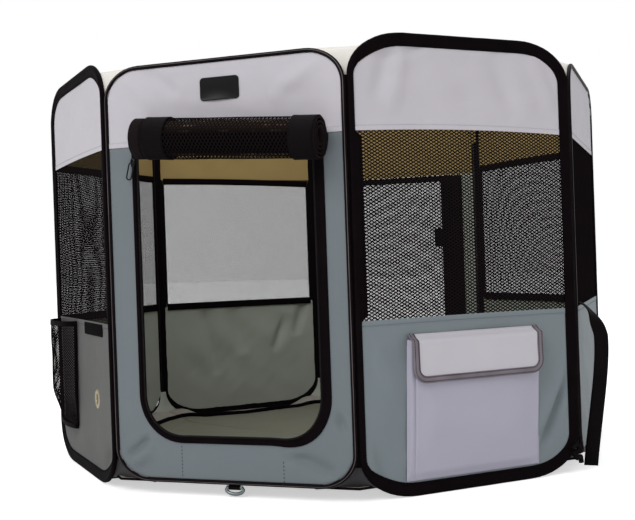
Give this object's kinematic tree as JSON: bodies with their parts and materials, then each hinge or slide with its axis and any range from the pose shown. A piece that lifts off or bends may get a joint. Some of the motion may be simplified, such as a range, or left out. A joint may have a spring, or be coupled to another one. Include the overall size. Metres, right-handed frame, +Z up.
{
  "type": "foldable pet playpen",
  "caption": "Open-topped octagonal pet pen of sprung wire hoops in taped edges, with cloth and mesh walls, a rolled-up zip door, a closed mesh door, pockets and a floor sheet.",
  "frame": {"origin": "middle of the floor sheet's underside, on the ground", "axes": "+Z up, -Y out through the front door, +X to the right as seen from in front of that door"},
  "size_m": [0.9048, 0.9323, 0.61],
  "materials": {
    "spring_steel": "drawn spring wire",
    "black_tape": "matt woven binding tape",
    "black_piping": "smooth tight tape with a soft gloss",
    "light_cloth": "coated plain-weave cloth",
    "grey_cloth": "coated plain-weave cloth",
    "black_mesh": "open knitted mesh",
    "floor_cloth": "coated heavy cloth",
    "pocket_cloth": "coated plain-weave cloth",
    "flap_cloth": "coated plain-weave cloth with a grey trim",
    "label_rubber": "moulded soft patch, bare",
    "zip_metal": "black enamel",
    "bright_metal": "bright nickel plate"
  },
  "bodies": {
    "front_panel": {"front_hoop_wire": "spring_steel", "front_hoop_binding": "black_piping", "front_upper_fabric": "light_cloth", "front_lower_fabric": "grey_cloth", "front_zip_tape": "black_tape", "front_door_roll": "black_mesh", "left_roll_tie": "black_tape", "right_roll_tie": "black_tape", "blank_label": "label_rubber", "anchor_loop": "black_tape", "floor": "floor_cloth"},
    "front_right_panel": {"front_right_hoop_wire": "spring_steel", "front_right_hoop_binding": "black_tape", "front_right_upper_fabric": "light_cloth", "front_right_lower_fabric": "grey_cloth", "front_right_mesh_window": "black_mesh", "pocket": "pocket_cloth"},
    "right_panel": {"right_hoop_wire": "spring_steel", "right_hoop_binding": "black_piping", "right_upper_fabric": "light_cloth", "right_lower_fabric": "grey_cloth", "right_mesh_window": "black_mesh"},
    "back_right_panel": {"back_right_hoop_wire": "spring_steel", "back_right_hoop_binding": "black_tape", "back_right_upper_fabric": "light_cloth", "back_right_lower_fabric": "grey_cloth", "back_right_mesh_window": "black_mesh"},
    "back_panel": {"back_hoop_wire": "spring_steel", "back_hoop_binding": "black_piping", "back_upper_fabric": "light_cloth", "back_lower_fabric": "grey_cloth", "back_zip_tape": "black_tape"},
    "back_left_panel": {"back_left_hoop_wire": "spring_steel", "back_left_hoop_binding": "black_tape", "back_left_upper_fabric": "light_cloth", "back_left_lower_fabric": "grey_cloth", "back_left_mesh_window": "black_mesh"},
    "left_panel": {"left_hoop_wire": "spring_steel", "left_hoop_binding": "black_piping", "left_upper_fabric": "light_cloth", "left_lower_fabric": "grey_cloth", "left_mesh_window": "black_mesh"},
    "front_left_panel": {"front_left_hoop_wire": "spring_steel", "front_left_hoop_binding": "black_tape", "front_left_upper_fabric": "light_cloth", "front_left_lower_fabric": "grey_cloth", "front_left_mesh_window": "black_mesh", "bottle_pocket": "black_mesh", "fastening_strip": "black_tape", "grommet": "bright_metal"},
    "pocket_flap": {"pocket_flap": "flap_cloth"},
    "back_door": {"back_door_flap": "black_mesh", "back_door_tab": "black_tape"},
    "front_slider": {"front_zip_slider": "zip_metal"},
    "front_pull": {"front_zip_pull": "black_tape"},
    "back_slider": {"back_zip_slider": "zip_metal"},
    "back_pull": {"back_zip_pull": "black_tape"},
    "anchor_ring": {"anchor_ring": "bright_metal"},
    "strap": {"strap": "black_tape"}
  },
  "joints": [
    {"name": "right_fold", "type": "hinge", "parent": "front_right_panel", "child": "right_panel", "pos_m": [0.42573, -0.17634, 0], "axis": [0, 0, 1], "range_deg": [0, 130], "deforming": ["floor", "bottle_pocket", "strap"]},
    {"name": "front_right_fold", "type": "hinge", "parent": "front_panel", "child": "front_right_panel", "pos_m": [0.178, -0.42973, 0], "axis": [0, 0, 1], "range_deg": [-44, 0]},
    {"name": "back_right_fold", "type": "hinge", "parent": "right_panel", "child": "back_right_panel", "pos_m": [0.43373, 0.17966, 0], "axis": [0, 0, 1], "range_deg": [-217, 0]},
    {"name": "back_fold", "type": "hinge", "parent": "back_right_panel", "child": "back_panel", "pos_m": [0.17634, 0.42573, 0], "axis": [0, 0, 1], "range_deg": [0, 130.5]},
    {"name": "front_left_fold", "type": "hinge", "parent": "front_panel", "child": "front_left_panel", "pos_m": [-0.17634, -0.42573, 0], "axis": [0, 0, 1], "range_deg": [-130.5, 0]},
    {"name": "left_fold", "type": "hinge", "parent": "front_left_panel", "child": "left_panel", "pos_m": [-0.43373, -0.17966, 0], "axis": [0, 0, 1], "range_deg": [0, 217]},
    {"name": "back_left_fold", "type": "hinge", "parent": "left_panel", "child": "back_left_panel", "pos_m": [-0.42573, 0.17634, 0], "axis": [0, 0, 1], "range_deg": [-130.5, 0]},
    {"name": "pocket_flap_hinge", "type": "hinge", "parent": "front_right_panel", "child": "pocket_flap", "pos_m": [0.30514, -0.30514, 0.213], "axis": [-0.7071, -0.7071, 0], "range_deg": [0, 110]},
    {"name": "back_door_hinge", "type": "hinge", "parent": "back_panel", "child": "back_door", "pos_m": [0, 0.43043, 0.4793], "axis": [1, 0, 0], "range_deg": [0, 110]},
    {"name": "front_zip_slide", "type": "slide", "parent": "front_panel", "child": "front_slider", "axis": [0, 0, -1], "range_m": [0, 0.29]},
    {"name": "front_pull_hinge", "type": "hinge", "parent": "front_slider", "child": "front_pull", "pos_m": [-0.1325, -0.43733, 0.455], "axis": [-1, 0, 0], "range_deg": [0, 100]},
    {"name": "back_zip_slide", "type": "slide", "parent": "back_panel", "child": "back_slider", "axis": [0, 0, -1], "range_m": [0, 0.29]},
    {"name": "back_pull_hinge", "type": "hinge", "parent": "back_slider", "child": "back_pull", "pos_m": [0.1325, 0.43733, 0.455], "axis": [1, 0, 0], "range_deg": [0, 100]},
    {"name": "anchor_ring_hinge", "type": "hinge", "parent": "front_panel", "child": "anchor_ring", "pos_m": [0, -0.42473, 0.0134], "axis": [-1, 0, 0], "range_deg": [-60, 75]},
    {"name": "strap_hinge", "type": "hinge", "parent": "right_panel", "child": "strap", "pos_m": [0.43053, -0.15, 0.24], "axis": [0, -1, 0], "range_deg": [0, 90]}
  ],
  "couplings": [
    {"joint": "front_right_fold", "follows": "right_fold", "ratio": -0.33333},
    {"joint": "back_right_fold", "follows": "right_fold", "ratio": -1.6667},
    {"joint": "back_fold", "follows": "right_fold", "ratio": 1},
    {"joint": "front_left_fold", "follows": "right_fold", "ratio": -1},
    {"joint": "left_fold", "follows": "right_fold", "ratio": 1.6667},
    {"joint": "back_left_fold", "follows": "right_fold", "ratio": -1}
  ]
}
